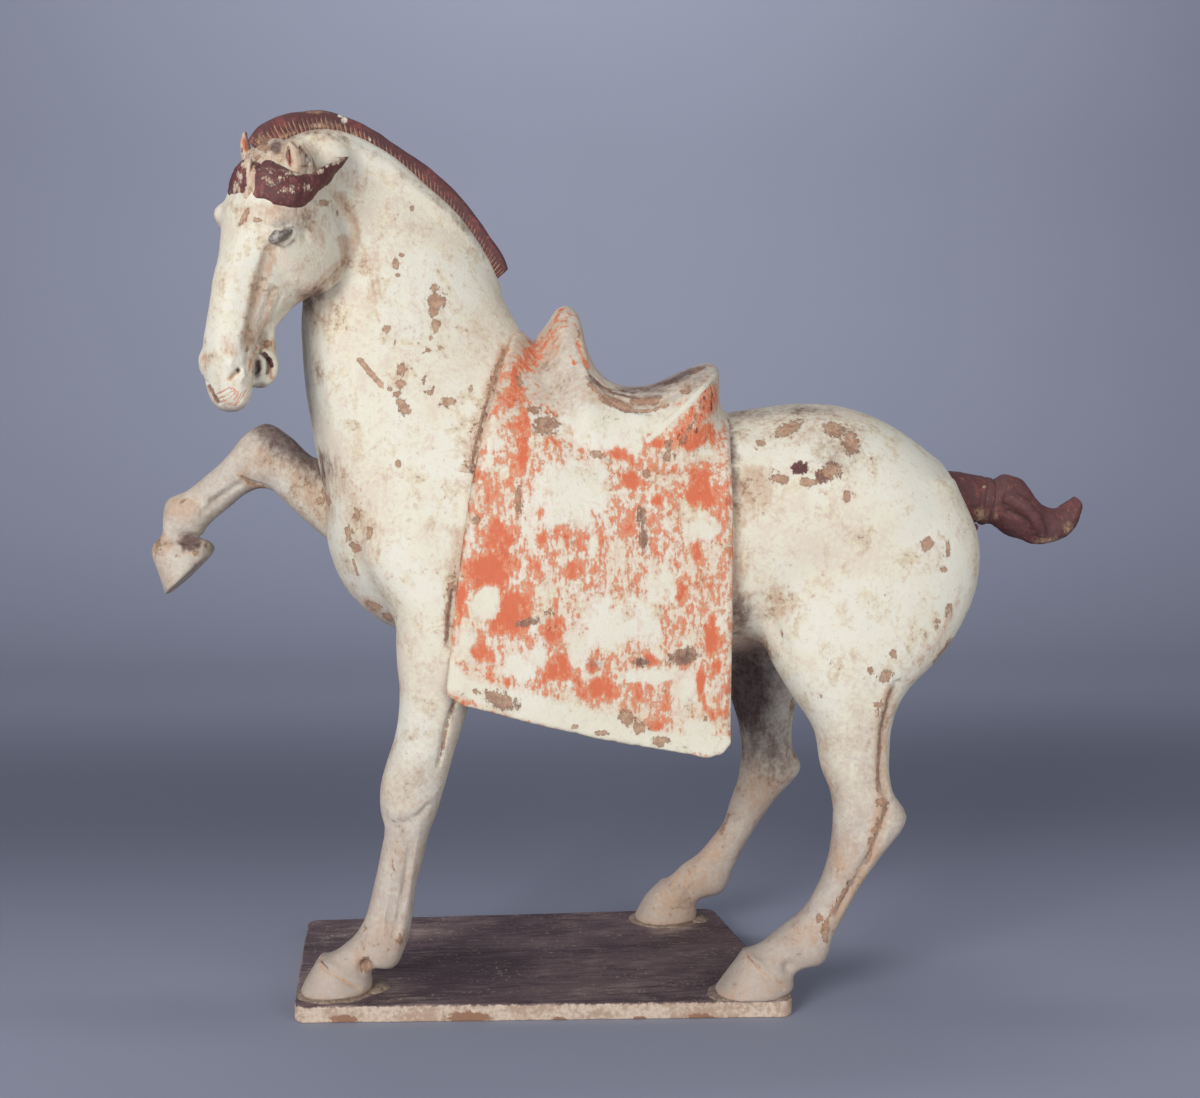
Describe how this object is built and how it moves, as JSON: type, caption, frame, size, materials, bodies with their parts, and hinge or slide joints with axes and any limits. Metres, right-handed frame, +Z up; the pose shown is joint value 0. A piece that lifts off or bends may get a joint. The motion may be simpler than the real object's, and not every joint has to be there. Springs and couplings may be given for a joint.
{
  "type": "dancing horse figure",
  "caption": "Painted earthenware horse with one foreleg raised and head turned, saddled, with a long saddle cloth, standing on a thin clay slab.",
  "frame": {"origin": "middle of the base slab's underside", "axes": "+Z up, the horse faces -X, its left side is -Y"},
  "size_m": [0.6659, 0.2047, 0.5905],
  "materials": {
    "painted_clay": "matt cream slip over tan clay, with worn orange-red and dark maroon paint",
    "slab_clay": "bare fired clay, brushed and stained dark brown"
  },
  "bodies": {
    "root": {"horse": "painted_clay", "base_slab": "slab_clay"}
  },
  "joints": []
}
